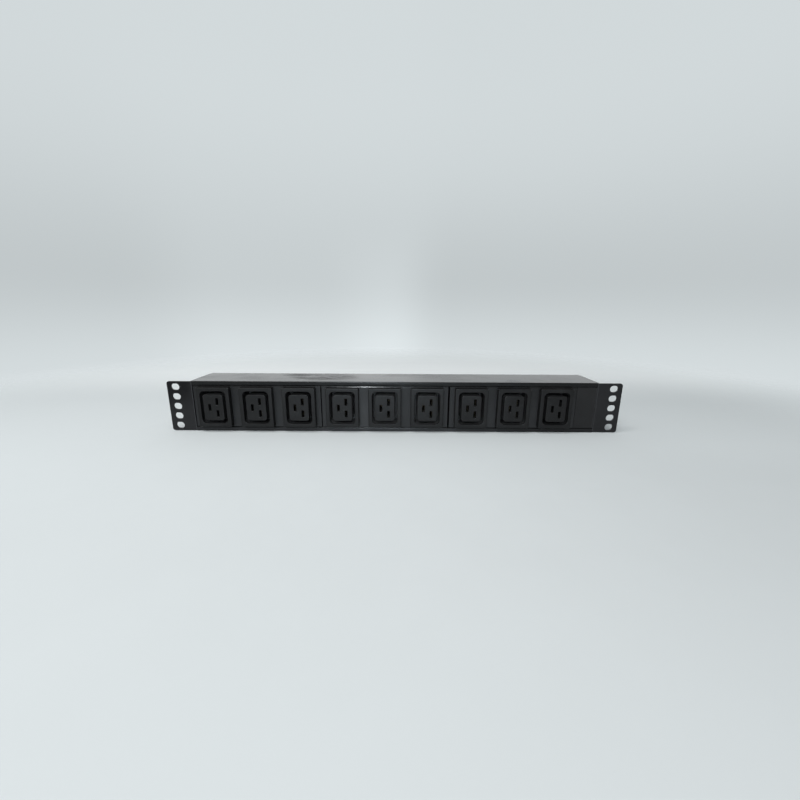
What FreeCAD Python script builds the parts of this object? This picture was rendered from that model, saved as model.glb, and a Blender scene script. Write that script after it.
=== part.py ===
import FreeCAD, Part
import math
import os

# Nine-outlet rack power strip for a 19-inch rack.
# Frame: millimetres, +X to the right seen from the front, +Y to the back, +Z up.
# The origin is on the back face of the two ears (the plane of the rack's rails), midway
# between the ears, on the middle row of slots.
# Cutters overrun the open faces they pass through, mostly by 1 mm.

Vector = FreeCAD.Vector
ORIGIN = Vector(0, 0, 0)
X_AXIS, Y_AXIS, Z_AXIS = Vector(1, 0, 0), Vector(0, 1, 0), Vector(0, 0, 1)

# ---------------------------------------------------------------- driving dimensions
EAR_SPAN = 482.6          # over both ears, the 19-inch panel width
EAR_HEIGHT = 54.0
EAR_THICK = 2.0

CASE_LENGTH = 430.0
CASE_END_X = CASE_LENGTH / 2
CASE_HEIGHT = 55.0
CASE_FRONT_Y = -EAR_THICK  # lips flush with the ears' front
CASE_BACK_Y = 47.5
WALL = 2.0
CASE_INSIDE_Y = CASE_BACK_Y - WALL

# screw ports along the case, one of each above and below the middle
FRONT_PORT_Y, FRONT_PORT_Z, FRONT_PORT_R = 6.3, 23.05, 2.4
REAR_PORT_Y, REAR_PORT_Z, REAR_PORT_R = 41.5, 22.0, 3.2
PORT_CENTRES = [(y, side * z) for side in (1, -1)
                for y, z in ((FRONT_PORT_Y, FRONT_PORT_Z), (REAR_PORT_Y, REAR_PORT_Z))]

# middles of the three mouldings; the joint between the last two is the widest
GANGS = {"left": -146.8, "middle": -10.8, "right": 126.0}
OUTLET_PITCH = 45.0
OUTLET_OFFSETS = (-OUTLET_PITCH, 0, OUTLET_PITCH)
FRAME_HALF_W = 135.2 / 2  # three outlets
FACE_Y = -1.3             # face of the mouldings between the bosses
FACE_HALF_H = 22.7
FLANGE_HALF_H = 24.9
FLANGE_Y0, FLANGE_Y1 = 0.1, 2.5
BOSS_Y = -7.5             # face of the bosses and of the cores in them
SKIRT_HALF_W = FRAME_HALF_W - 1.0
SKIRT_HALF_H = 20.4
SKIRT_BACK_Y = 26.0
SKIRT_WALL = 1.8
COVER_BACK_Y = 28.0
# screw posts of a frame: x from its middle, z
POSTS = [(dx, z) for dx in (-OUTLET_PITCH / 2, OUTLET_PITCH / 2) for z in (-13.5, 13.5)]

# pole: blade slot's x and z from the outlet's centre, front of its strip y, terminal z
POLES = {
    "line": (4.0, 6.5, 17.2, 9.2),
    "neutral": (4.0, -6.5, 17.2, -9.2),
    "earth": (-4.0, 0.0, 20.4, 0.0)}
EARTH_Z = POLES["earth"][1]

TAB_DX = 58.0             # strip tabs, from the middle of a frame
TAB_HALF_W = 3.15
TAB_END_Y = 35.0

GLAND_X, GLAND_Z = 150.0, 0.0
GLAND_HOLE_R = 12.65
BOND_X, BOND_Z = -178.0, 0.0
BOND_HOLE_R = 2.65


# ---------------------------------------------------------------- helpers
def box(x0, x1, y0, y1, z0, z1):
    """Box between these coordinates; the x pair and the z pair may come in either order."""
    corner = Vector(min(x0, x1), y0, min(z0, z1))
    return Part.makeBox(abs(x1 - x0), y1 - y0, abs(z1 - z0), corner)


def cyl_x(radius, x0, x1, y, z):
    return Part.makeCylinder(radius, x1 - x0, Vector(x0, y, z), X_AXIS)


def cyl_y(radius, y0, y1, x, z):
    return Part.makeCylinder(radius, y1 - y0, Vector(x, y0, z), Y_AXIS)


def cone_y(radius0, radius1, y0, y1, x, z):
    return Part.makeCone(radius0, radius1, y1 - y0, Vector(x, y0, z), Y_AXIS)


def near(a, b):
    return abs(a - b) < 1e-4


def ends(edge):
    return [vertex.Point for vertex in edge.Vertexes]


def along(edge, axis):
    points = ends(edge)
    if len(points) != 2:
        return False
    direction = points[1] - points[0]
    direction.normalize()
    return abs(abs(direction.dot(axis)) - 1) < 1e-6


def edges_at(shape, **place):
    """Edges whose end points all have the given coordinates, such as y=0."""
    return [e for e in shape.Edges
            if all(near(getattr(p, name), value) for p in ends(e) for name, value in place.items())]


def edges_along(shape, axis, **place):
    """Straight edges parallel to axis, at the given coordinates."""
    return [e for e in edges_at(shape, **place) if along(e, axis)]


def slab(x, z, half_w, half_h, y0, y1, corner_r=0):
    """A box centred on x and z from y0 to y1, with its four edges along Y rounded if asked."""
    solid = box(x - half_w, x + half_w, y0, y1, z - half_h, z + half_h)
    if corner_r > 0:
        solid = solid.makeFillet(corner_r, edges_along(solid, Y_AXIS))
    return solid


def hexagon_y(across_flats, y0, y1, x, z):
    """Hexagonal prism along Y, flats up and down, with its corners turned off."""
    radius = across_flats / math.sqrt(3)
    points = []
    for i in range(7):
        angle = math.radians(60 * i)
        points.append(Vector(x + radius * math.cos(angle), y0, z + radius * math.sin(angle)))
    prism = Part.Face(Part.makePolygon(points)).extrude(Vector(0, y1 - y0, 0))
    end_r = across_flats / 2 + 0.25
    outer_r = radius + 1
    slope = (outer_r - end_r) * math.tan(math.radians(30))
    top = cone_y(outer_r, end_r, y1 - slope, y1, x, z)
    bottom = cone_y(end_r, outer_r, y0, y0 + slope, x, z)
    middle = cyl_y(outer_r, y0 + slope, y1 - slope, x, z)
    return prism.common(top.fuse([middle, bottom]))


def turned_y(profile, x, y, z):
    """Revolve an (r, h) profile, with h running along +Y from the given point."""
    points = [Vector(r, 0, h) for r, h in profile]
    face = Part.Face(Part.makePolygon(points + [points[0]]))
    solid = face.revolve(ORIGIN, Z_AXIS, 360)
    solid.Placement = FreeCAD.Placement(Vector(x, y, z), FreeCAD.Rotation(Z_AXIS, Y_AXIS))
    return solid


def pan_screw(seat, out, head_r, head_h, shank_r, length, tip=0.8):
    """Pan-head screw with a cross recess.

    seat is the centre of the seat under its head; out points from the seat out of the head.
    """
    head = Part.makeCylinder(head_r, head_h, ORIGIN, Z_AXIS)
    head = head.makeFillet(head_h * 0.55, edges_at(head, z=head_h))
    shank = Part.makeCylinder(shank_r, length - tip, Vector(0, 0, -(length - tip)), Z_AXIS)
    point = Part.makeCone(shank_r * 0.55, shank_r, tip, Vector(0, 0, -length), Z_AXIS)
    width, arm, deep = head_r * 0.24, head_r * 0.56, head_h * 0.55
    floor = head_h - deep
    recess = [
        Part.makeBox(2 * arm, width, deep + 1, Vector(-arm, -width / 2, floor)),
        Part.makeBox(width, 2 * arm, deep + 1, Vector(-width / 2, -arm, floor)),
        Part.makeCone(width * 0.35, width * 0.95, deep, Vector(0, 0, floor), Z_AXIS)]
    screw = head.fuse([shank, point]).removeSplitter().cut(recess)
    screw.Placement = FreeCAD.Placement(seat, FreeCAD.Rotation(Z_AXIS, out))
    return screw


def write(name, *shapes):
    """Export one piece; each shape must hold exactly one sound solid."""
    solids = []
    for shape in shapes:
        if len(shape.Solids) != 1:
            raise RuntimeError("expected one solid in %s, found %d" % (name, len(shape.Solids)))
        solid = shape.Solids[0]
        if not solid.isValid() or solid.Volume <= 0:
            raise RuntimeError("bad solid in " + name)
        solids.append(solid)
    piece = solids[0] if len(solids) == 1 else Part.makeCompound(solids)
    piece.exportStep("parts/%s.step" % name)


os.makedirs("parts", exist_ok=True)

# ---------------------------------------------------------------- case
CASE_CORNER_R = 0.9
WINDOW_HALF_H = 23.0      # the window between the two lips
LIP_EDGE_R = 0.7
GROOVE_Y0, GROOVE_Y1 = 0.0, 2.7   # between the lips and the ribs
RIB_THICK = 1.5
RIB_Z = 21.5
PORT_BORE_R = 1.6
PORT_TIE_DY = 1.2         # front of the tie, from the rear port's axis
PORT_GAP_HALF_H = 0.7


def extruded_case():
    """One extrusion with the window along its front."""
    def full_length(y0, y1, z0, z1, overrun=0):
        return box(-CASE_END_X - overrun, CASE_END_X + overrun, y0, y1, z0, z1)

    def full_rod(radius, y, z, overrun=0):
        return cyl_x(radius, -CASE_END_X - overrun, CASE_END_X + overrun, y, z)

    half_h = CASE_HEIGHT / 2
    inner_z = half_h - WALL
    case = full_length(CASE_FRONT_Y, CASE_BACK_Y, -half_h, half_h)
    case = case.makeFillet(CASE_CORNER_R, edges_along(case, X_AXIS))
    case = case.cut(full_length(GROOVE_Y0, CASE_INSIDE_Y, -inner_z, inner_z, 1))
    case = case.cut(full_length(
        CASE_FRONT_Y - 1, GROOVE_Y0 + 1, -WINDOW_HALF_H, WINDOW_HALF_H, 1))
    case = case.makeFillet(LIP_EDGE_R, [
        e for e in edges_along(case, X_AXIS, y=CASE_FRONT_Y)
        if near(abs(ends(e)[0].z), WINDOW_HALF_H)])
    adds, bores = [], []
    for side in (1, -1):
        wall_z = side * (inner_z + 0.5)
        front_z, rear_z = side * FRONT_PORT_Z, side * REAR_PORT_Z
        adds += [
            full_length(GROOVE_Y1, GROOVE_Y1 + RIB_THICK, side * RIB_Z, wall_z),
            full_rod(FRONT_PORT_R, FRONT_PORT_Y, front_z),
            full_rod(REAR_PORT_R, REAR_PORT_Y, rear_z),
            # metal ties each rear port to the corner it stands in
            full_length(REAR_PORT_Y - PORT_TIE_DY, CASE_BACK_Y - 1, rear_z, wall_z)]
        bores += [
            full_rod(PORT_BORE_R, FRONT_PORT_Y, front_z, 1),
            full_rod(PORT_BORE_R, REAR_PORT_Y, rear_z, 1),
            # each rear port is open along its front
            full_length(REAR_PORT_Y - REAR_PORT_R - 1, REAR_PORT_Y,
                        rear_z - PORT_GAP_HALF_H, rear_z + PORT_GAP_HALF_H, 1)]
    case = case.fuse(adds).removeSplitter().cut(bores)
    return case.cut([
        cyl_y(GLAND_HOLE_R, CASE_INSIDE_Y - 1, CASE_BACK_Y + 1, GLAND_X, GLAND_Z),
        cyl_y(BOND_HOLE_R, CASE_INSIDE_Y - 1, CASE_BACK_Y + 1, BOND_X, BOND_Z)])


write("extruded_case", extruded_case())

# ---------------------------------------------------------------- ear brackets
SLOT_SPAN = 465.1         # between the two columns of slots
SLOT_PITCH = 31.75 / 3    # five slots; first and fourth, second and fifth are 31.75 apart
SLOT_LENGTH = 9.0         # along X
SLOT_HEIGHT = 7.0         # along Z
EAR_CORNER_R = 2.5
BEND_OUT_R = 0.5          # coined sharp so that the ear meets the blank plate closely
BEND_IN_R = 1.2
EAR_EDGE_R = 0.35
END_HOLE_R = 1.85


def ear_bracket():
    """Right-hand bracket of folded sheet steel: an ear and a leg over the end of the case."""
    half_h = EAR_HEIGHT / 2
    leg_x = CASE_END_X + EAR_THICK
    ear = box(CASE_END_X, EAR_SPAN / 2, -EAR_THICK, 0, -half_h, half_h)
    ear = ear.makeFillet(EAR_CORNER_R, edges_along(ear, Y_AXIS, x=EAR_SPAN / 2))
    leg = box(CASE_END_X, leg_x, -EAR_THICK, CASE_BACK_Y, -half_h, half_h)
    leg = leg.makeFillet(EAR_CORNER_R, edges_along(leg, X_AXIS, y=CASE_BACK_Y))
    bracket = ear.fuse(leg).removeSplitter()
    bracket = bracket.makeFillet(
        BEND_OUT_R, edges_along(bracket, Z_AXIS, x=CASE_END_X, y=-EAR_THICK))
    bracket = bracket.makeFillet(BEND_IN_R, edges_along(bracket, Z_AXIS, x=leg_x, y=0))
    # the front edge of the ear is eased, except where the face runs into the bend
    bracket = bracket.makeFillet(EAR_EDGE_R, [
        e for e in edges_at(bracket, y=-EAR_THICK)
        if not (near(ends(e)[0].x, CASE_END_X + BEND_OUT_R) and along(e, Z_AXIS))])
    x = SLOT_SPAN / 2
    end_dx = (SLOT_LENGTH - SLOT_HEIGHT) / 2
    cuts = []
    for row in range(-2, 3):
        z = row * SLOT_PITCH
        cuts.append(slab(x, z, end_dx, SLOT_HEIGHT / 2, -EAR_THICK - 1, 1))
        for end_x in (x - end_dx, x + end_dx):
            cuts.append(cyl_y(SLOT_HEIGHT / 2, -EAR_THICK - 1, 1, end_x, z))
    bracket = bracket.cut(cuts[0].fuse(cuts[1:]).removeSplitter())
    return bracket.cut([cyl_x(END_HOLE_R, CASE_END_X - 1, leg_x + 1, y, z)
                        for y, z in PORT_CENTRES])


right_bracket = ear_bracket()
write("right_ear_bracket", right_bracket)
write("left_ear_bracket", right_bracket.mirror(ORIGIN, X_AXIS))
write("end_cap_screws", *[
    pan_screw(Vector(side * (CASE_END_X + EAR_THICK), y, z), Vector(side, 0, 0),
              head_r=3.2, head_h=2.0, shank_r=1.55, length=13.0)
    for side in (-1, 1) for y, z in PORT_CENTRES])

# ---------------------------------------------------------------- outlet mouldings
PLATE_EDGE_R = 0.35
BOSS_HALF_W, BOSS_HALF_H = 17.4, 21.5
BOSS_CORNER_R = 1.2
BOSS_EDGE_R = 0.8
WELL_HALF_W, WELL_HALF_H, WELL_R = 26.8 / 2, 35.2 / 2, 4.6
WELL_FLOOR_Y = 12.5
WELL_BACK_Y = 14.5
WELL_WALL = 2.0
MOUTH_R = 0.5
POST_R, PILOT_R, PILOT_DEPTH = 3.4, 1.2, 11
CORE_HALF_W, CORE_HALF_H, CORE_R = 21.0 / 2, 28.4 / 2, 3.2
CORE_GAP = 0.15
CORE_EDGE_R = 0.6
CORE_FLANGE_HALF_W, CORE_FLANGE_HALF_H, CORE_FLANGE_R = 12.6, 16.8, 3.0
CORE_FLANGE_Y0, CORE_FLANGE_Y1 = 14.6, 16.6
BLADE_HALF_W, BLADE_HALF_H, BLADE_R = 2.6 / 2, 7.2 / 2, 0.4
CAVITY_HALF_W, CAVITY_HALF_H = 2.6, 4.7
CAVITY_DEPTH = 3          # from the core's face to the cavity behind a blade slot
LEAD_IN = 0.3


def front_plate(x, half_w):
    plate = slab(x, 0, half_w, FACE_HALF_H, FACE_Y, FLANGE_Y0)
    return plate.makeFillet(PLATE_EDGE_R, edges_at(plate, y=FACE_Y))


def plate_flange(x, half_w):
    """The wider layer behind a front plate."""
    return slab(x, 0, half_w, FLANGE_HALF_H, FLANGE_Y0, FLANGE_Y1)


def outlet_frame(mid_x):
    """Front plate with three bosses, each with a recess, and a skirt and screw posts behind."""
    skirt = slab(mid_x, 0, SKIRT_HALF_W, SKIRT_HALF_H, FLANGE_Y1, SKIRT_BACK_Y).cut(
        slab(mid_x, 0, SKIRT_HALF_W - SKIRT_WALL, SKIRT_HALF_H - SKIRT_WALL,
             FLANGE_Y1, SKIRT_BACK_Y + 1))
    adds, cuts = [plate_flange(mid_x, FRAME_HALF_W), skirt], []
    for dx in OUTLET_OFFSETS:
        x = mid_x + dx
        boss = slab(x, 0, BOSS_HALF_W, BOSS_HALF_H, BOSS_Y, FACE_Y + 0.5, BOSS_CORNER_R)
        adds.append(boss.makeFillet(BOSS_EDGE_R, edges_at(boss, y=BOSS_Y)))
        adds.append(slab(x, 0, WELL_HALF_W + WELL_WALL, WELL_HALF_H + WELL_WALL,
                         FLANGE_Y0, WELL_BACK_Y, WELL_R + WELL_WALL))
        cuts.append(slab(x, 0, WELL_HALF_W, WELL_HALF_H, BOSS_Y - 1, WELL_FLOOR_Y, WELL_R))
        cuts.append(slab(x, 0, CORE_HALF_W + CORE_GAP, CORE_HALF_H + CORE_GAP,
                         WELL_FLOOR_Y - 1, WELL_BACK_Y + 1, CORE_R + CORE_GAP))
    for dx, z in POSTS:
        adds.append(cyl_y(POST_R, FLANGE_Y1 - 0.5, SKIRT_BACK_Y, mid_x + dx, z))
    body = front_plate(mid_x, FRAME_HALF_W).fuse(adds).removeSplitter().cut(cuts)
    body = body.cut([
        cyl_y(PILOT_R, SKIRT_BACK_Y - PILOT_DEPTH, SKIRT_BACK_Y + 1, mid_x + dx, z)
        for dx, z in POSTS])

    def on_mouth(point):
        return abs(point.z) < WELL_HALF_H + 0.1 and any(
            abs(point.x - mid_x - dx) < WELL_HALF_W + 0.1 for dx in OUTLET_OFFSETS)

    # the mouth of each recess is eased
    mouths = [e for e in edges_at(body, y=BOSS_Y) if all(on_mouth(p) for p in ends(e))]
    return body.makeFillet(MOUTH_R, mouths)


def outlet_core(x):
    """Rounded block with three blade slots, each opening into a cavity for its receptacle."""
    core = slab(x, 0, CORE_HALF_W, CORE_HALF_H, BOSS_Y, CORE_FLANGE_Y0 + 0.5, CORE_R)
    core = core.makeFillet(CORE_EDGE_R, edges_at(core, y=BOSS_Y))
    core = core.fuse(slab(x, 0, CORE_FLANGE_HALF_W, CORE_FLANGE_HALF_H,
                          CORE_FLANGE_Y0, CORE_FLANGE_Y1, CORE_FLANGE_R)).removeSplitter()
    slots = [(x + dx, z) for dx, z, _, _ in POLES.values()]
    cuts = []
    for slot_x, z in slots:
        cuts.append(slab(slot_x, z, BLADE_HALF_W, BLADE_HALF_H,
                         BOSS_Y - 1, BOSS_Y + CAVITY_DEPTH + 1, BLADE_R))
        cuts.append(slab(slot_x, z, CAVITY_HALF_W, CAVITY_HALF_H,
                         BOSS_Y + CAVITY_DEPTH, CORE_FLANGE_Y1 + 1))
    core = core.cut(cuts)

    def on_slot(point):
        return any(abs(point.x - slot_x) < BLADE_HALF_W + 0.05
                   and abs(point.z - z) < BLADE_HALF_H + 0.05 for slot_x, z in slots)

    # small lead-in round each blade slot
    return core.makeChamfer(
        LEAD_IN, [e for e in edges_at(core, y=BOSS_Y) if all(on_slot(p) for p in ends(e))])


for name, mid_x in GANGS.items():
    write("outlet_frame_" + name, outlet_frame(mid_x))
outlet_x = [mid_x + dx for mid_x in GANGS.values() for dx in OUTLET_OFFSETS]
for number, x in enumerate(outlet_x, 1):
    write("outlet_core_%d" % number, outlet_core(x))

# ---------------------------------------------------------------- brass contact strips
STRIP_THICK = 1.2
STRIP_HALF_H = 5.6 / 2
CONTACT_Y = BOSS_Y + 7.5  # mouth of a blade receptacle
LEAF_IN, LEAF_OUT = 0.95, 1.75    # faces of a leaf, from the blade's middle plane
LEAF_HALF_H = 3.9
LEAF_BACK_Y = 15.5
LEAF_FLARE = 0.5
NECK_HALF_H = 3.0         # the block joining two leaves to the strip
TAB_HALF_THICK = 0.4
TAB_CHAMFER = 0.9


def contact_strip(mid_x, dx, z, y):
    """One pole of one frame: a flat strip across the three outlets, a two-leaf receptacle
    in each core, and a tab at each end."""
    strip = slab(mid_x, z, TAB_DX + TAB_HALF_W, STRIP_HALF_H, y, y + STRIP_THICK)
    adds = []
    for offset in OUTLET_OFFSETS:
        x = mid_x + offset + dx
        for side in (-1, 1):
            inner_x = x + side * LEAF_IN
            leaf = box(inner_x, x + side * LEAF_OUT, CONTACT_Y, LEAF_BACK_Y,
                       z - LEAF_HALF_H, z + LEAF_HALF_H)
            # the leaf's mouth flares a little so that a blade finds it
            adds.append(leaf.makeChamfer(
                LEAF_FLARE, edges_along(leaf, Z_AXIS, x=inner_x, y=CONTACT_Y)))
        adds.append(slab(x, z, LEAF_OUT, NECK_HALF_H, LEAF_BACK_Y - 0.2, y + 0.2))
    for side in (-1, 1):
        tab = slab(mid_x + side * TAB_DX, z, TAB_HALF_W, TAB_HALF_THICK, y + 0.2, TAB_END_Y)
        adds.append(tab.makeChamfer(TAB_CHAMFER, edges_along(tab, Z_AXIS, y=TAB_END_Y)))
    return strip.fuse(adds).removeSplitter()


for pole, (dx, z, y, _) in POLES.items():
    for name, mid_x in GANGS.items():
        write("%s_strip_%s" % (pole, name), contact_strip(mid_x, dx, z, y))

# ---------------------------------------------------------------- rear covers
COVER_EDGE_R = 0.6
RIM_GAP, RIM_WALL, RIM_DEPTH = 0.2, 1.2, 2.0
COVER_HOLE_R = 1.6
TAB_SLOT_HALF_W, TAB_SLOT_HALF_H = 3.4, 0.7


def rear_cover(mid_x):
    """Plate behind a skirt, with a rim inside it, screw holes and slots for the tabs."""
    plate = slab(mid_x, 0, SKIRT_HALF_W, SKIRT_HALF_H, SKIRT_BACK_Y, COVER_BACK_Y)
    plate = plate.makeFillet(COVER_EDGE_R, edges_at(plate, y=COVER_BACK_Y))
    half_w = SKIRT_HALF_W - SKIRT_WALL - RIM_GAP
    half_h = SKIRT_HALF_H - SKIRT_WALL - RIM_GAP
    cut_y0, cut_y1 = SKIRT_BACK_Y - RIM_DEPTH - 1, COVER_BACK_Y + 1
    rim = slab(mid_x, 0, half_w, half_h, SKIRT_BACK_Y - RIM_DEPTH, SKIRT_BACK_Y + 0.2).cut(
        slab(mid_x, 0, half_w - RIM_WALL, half_h - RIM_WALL, cut_y0, SKIRT_BACK_Y))
    cuts = [cyl_y(COVER_HOLE_R, cut_y0, cut_y1, mid_x + dx, z) for dx, z in POSTS]
    for _, z, _, _ in POLES.values():
        for side in (-1, 1):
            cuts.append(slab(mid_x + side * TAB_DX, z, TAB_SLOT_HALF_W, TAB_SLOT_HALF_H,
                             cut_y0, cut_y1))
    return plate.fuse(rim).removeSplitter().cut(cuts)


for name, mid_x in GANGS.items():
    write("rear_cover_" + name, rear_cover(mid_x))
write("rear_cover_screws", *[
    pan_screw(Vector(mid_x + dx, COVER_BACK_Y, z), Y_AXIS,
              head_r=2.6, head_h=1.7, shank_r=1.15, length=11.0)
    for mid_x in GANGS.values() for dx, z in POSTS])

# ---------------------------------------------------------------- blank plate, terminal block
BLANK_X0 = GANGS["right"] + FRAME_HALF_W + 0.2
BLANK_X1 = CASE_END_X - 0.1
BLOCK_X = (BLANK_X0 + BLANK_X1) / 2
PILLAR_R, PILLAR_BORE_R, PILLAR_Z = 2.8, 1.1, 16.9   # pillars carrying the block
BLOCK_Y0, BLOCK_Y1 = 7.0, 25.0
BLOCK_HALF_W, BLOCK_HALF_H, BLOCK_EDGE_R = 7.8, 13.8, 0.5
FOOT_HALF_W, FOOT_HALF_H, FOOT_Y1 = 5.0, 19.8, 9.5
FOOT_HOLE_R = 1.6
CLAMP_HALF_W, CLAMP_HALF_H, CLAMP_EDGE_R = 4.0, 3.6, 0.5
CLAMP_Y0, CLAMP_Y1 = 11.1, 22.9
CLAMP_GAP = 0.1
LEAD_X = BLOCK_X - 0.8    # the supply leads' axis in the clamps
LEAD_BORE_R = 2.6
CLAMP_SCREW_Y = 17.0
CLAMP_SCREW_R, CLAMP_HEAD_R = 1.7, 2.6
CLAMP_SCREW_X0, CLAMP_HEAD_X0, CLAMP_HEAD_X1 = BLOCK_X + 1.6, BLOCK_X + 5.3, BLOCK_X + 6.8
DRIVER_SLOT_DEPTH, DRIVER_SLOT_HALF_W = 0.7, 0.4


def blank_plate():
    half_w = (BLANK_X1 - BLANK_X0) / 2
    plate = front_plate(BLOCK_X, half_w).fuse(
        [plate_flange(BLOCK_X, half_w)]
        + [cyl_y(PILLAR_R, FLANGE_Y0, BLOCK_Y0, BLOCK_X, z) for z in (PILLAR_Z, -PILLAR_Z)]
    ).removeSplitter()
    # the bores stop short of the face
    return plate.cut([
        cyl_y(PILLAR_BORE_R, 1.5, BLOCK_Y0 + 1, BLOCK_X, z) for z in (PILLAR_Z, -PILLAR_Z)])


def terminal_block():
    """Block on a longer foot, with a pocket and a side screw hole for each pole."""
    block = slab(BLOCK_X, 0, BLOCK_HALF_W, BLOCK_HALF_H, BLOCK_Y0, BLOCK_Y1)
    block = block.makeFillet(BLOCK_EDGE_R, edges_at(block, y=BLOCK_Y1))
    foot = slab(BLOCK_X, 0, FOOT_HALF_W, FOOT_HALF_H, BLOCK_Y0, FOOT_Y1)
    block = block.fuse(foot).removeSplitter()
    cuts = [cyl_y(FOOT_HOLE_R, 6, 11, BLOCK_X, z) for z in (PILLAR_Z, -PILLAR_Z)]
    for _, _, _, z in POLES.values():
        cuts.append(slab(BLOCK_X, z, CLAMP_HALF_W + CLAMP_GAP, CLAMP_HALF_H + CLAMP_GAP,
                         CLAMP_Y0 - CLAMP_GAP, BLOCK_Y1 + 1))
        cuts.append(cyl_x(2.9, BLOCK_X, BLOCK_X + 9, CLAMP_SCREW_Y, z))
    return block.cut(cuts)


def terminal_clamp(z):
    cage = slab(BLOCK_X, z, CLAMP_HALF_W, CLAMP_HALF_H, CLAMP_Y0, CLAMP_Y1, CLAMP_EDGE_R)
    return cage.cut([
        cyl_y(LEAD_BORE_R, 10, 24, LEAD_X, z),
        cyl_x(CLAMP_SCREW_R + 0.05, BLOCK_X, BLOCK_X + 5, CLAMP_SCREW_Y, z)])


def terminal_screw(z):
    """Slotted screw entering its clamp from the right."""
    y = CLAMP_SCREW_Y
    screw = cyl_x(CLAMP_SCREW_R, CLAMP_SCREW_X0, CLAMP_HEAD_X1, y, z).fuse(
        cyl_x(CLAMP_HEAD_R, CLAMP_HEAD_X0, CLAMP_HEAD_X1, y, z)).removeSplitter()
    return screw.cut(box(CLAMP_HEAD_X1 - DRIVER_SLOT_DEPTH, CLAMP_HEAD_X1 + 0.7,
                         y - DRIVER_SLOT_HALF_W, y + DRIVER_SLOT_HALF_W, z - 3, z + 3))


terminal_z = [z for _, _, _, z in POLES.values()]
write("blank_plate", blank_plate())
write("terminal_block", terminal_block())
write("terminal_clamps", *[terminal_clamp(z) for z in terminal_z])
write("terminal_screws", *[terminal_screw(z) for z in terminal_z])
write("terminal_block_screws", *[
    pan_screw(Vector(BLOCK_X, FOOT_Y1, z), Y_AXIS,
              head_r=2.4, head_h=1.6, shank_r=1.05, length=7.0)
    for z in (PILLAR_Z, -PILLAR_Z)])

# ---------------------------------------------------------------- push-on terminals and wires
TERM_Y0, TERM_Y1, BARREL_Y1 = 28.4, 35.6, 39.6
TERM_HALF_W, TERM_HALF_H, TERM_EDGE_R = 3.8, 1.3, 0.6
BARREL_R = 2.2
WIRE_R = 1.6
WIRE_BORE_R = WIRE_R + 0.05
WIRE_START_Y = TERM_Y1 + 1.0
WIRE_RUN_Y = 43.0         # where the wires run sideways
WIRE_BEND_R = 2.9
LEAD_END_Y = 25.4         # end of a supply lead's insulation
CONDUCTOR_R, CONDUCTOR_Y0 = 0.9, 13.0


def push_on_terminal(x, z):
    """Flat sleeve over a tab, with a round barrel for the wire."""
    body = slab(x, z, TERM_HALF_W, TERM_HALF_H, TERM_Y0, TERM_Y1, TERM_EDGE_R)
    body = body.fuse(cyl_y(BARREL_R, TERM_Y1 - 0.4, BARREL_Y1, x, z)).removeSplitter()
    return body.cut([
        slab(x, z, TAB_HALF_W + 0.1, TAB_HALF_THICK + 0.1, TERM_Y0 - 1, TAB_END_Y + 0.1),
        cyl_y(WIRE_BORE_R, WIRE_START_Y - 0.4, BARREL_Y1 + 1, x, z)])


def round_wire(points):
    """A round section carried along straight runs with a round bend at each inner point."""
    edges = []
    run_start = points[0]
    for before, corner, after in zip(points, points[1:], points[2:]):
        back = (before - corner).normalize()
        ahead = (after - corner).normalize()
        half_angle = back.getAngle(ahead) / 2
        setback = WIRE_BEND_R / math.tan(half_angle)
        start, stop = corner + back * setback, corner + ahead * setback
        inward = (back + ahead).normalize()
        middle = corner + inward * (WIRE_BEND_R / math.sin(half_angle) - WIRE_BEND_R)
        edges.append(Part.LineSegment(run_start, start).toShape())
        edges.append(Part.Arc(start, middle, stop).toShape())
        run_start = stop
    edges.append(Part.LineSegment(run_start, points[-1]).toShape())
    section = Part.Wire([Part.Circle(points[0], points[1] - points[0], WIRE_R).toShape()])
    return Part.Wire(edges).makePipeShell([section], True, False)


def wire_from_tab(x0, z0, x1, y1, z1):
    """Wire from a terminal at x0, z0, back, sideways and forward again to x1, y1, z1."""
    return round_wire([
        Vector(x0, WIRE_START_Y, z0), Vector(x0, WIRE_RUN_Y, z0),
        Vector(x1, WIRE_RUN_Y, z1), Vector(x1, y1, z1)])


def supply_lead(x, z, end_z):
    """Wire from the last tab to the terminal block, with its bared conductor."""
    lead = wire_from_tab(x, z, LEAD_X, LEAD_END_Y, end_z)
    conductor = cyl_y(CONDUCTOR_R, CONDUCTOR_Y0, LEAD_END_Y + 0.2, LEAD_X, end_z)
    return lead.fuse(conductor).removeSplitter()


left_tabs = [x - TAB_DX for x in GANGS.values()]
right_tabs = [x + TAB_DX for x in GANGS.values()]
# neighbouring tabs on either side of the two joints
joints = list(zip(right_tabs, left_tabs[1:]))
terminals = []
for pole, (_, z, _, end_z) in POLES.items():
    write(pole + "_link_wires", *[
        wire_from_tab(x0, z, x1, WIRE_START_Y, z) for x0, x1 in joints])
    for x in (*joints[0], *joints[1], right_tabs[2]):
        terminals.append(push_on_terminal(x, z))
    write(pole + "_supply_lead", supply_lead(right_tabs[2], z, end_z))
terminals.append(push_on_terminal(left_tabs[0], EARTH_Z))
write("push_on_terminals", *terminals)

# ---------------------------------------------------------------- bond to the case's back wall
LUG_BARREL_X0, LUG_BARREL_X1 = BOND_X - 14.0, BOND_X - 7.0
LUG_Y0, LUG_Y1 = 44.3, 45.4
LUG_RING_R, TONGUE_HALF_H = 5.0, 3.2
WASHER_R, WASHER_BORE_R, WASHER_THICK = 4.6, 2.6, 0.9
EARTH_NUT_AF, EARTH_NUT_THICK, EARTH_NUT_BORE_R = 8.0, 4.0, 2.5


def bond_rod(radius, y0, y1):
    return cyl_y(radius, y0, y1, BOND_X, BOND_Z)


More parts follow.
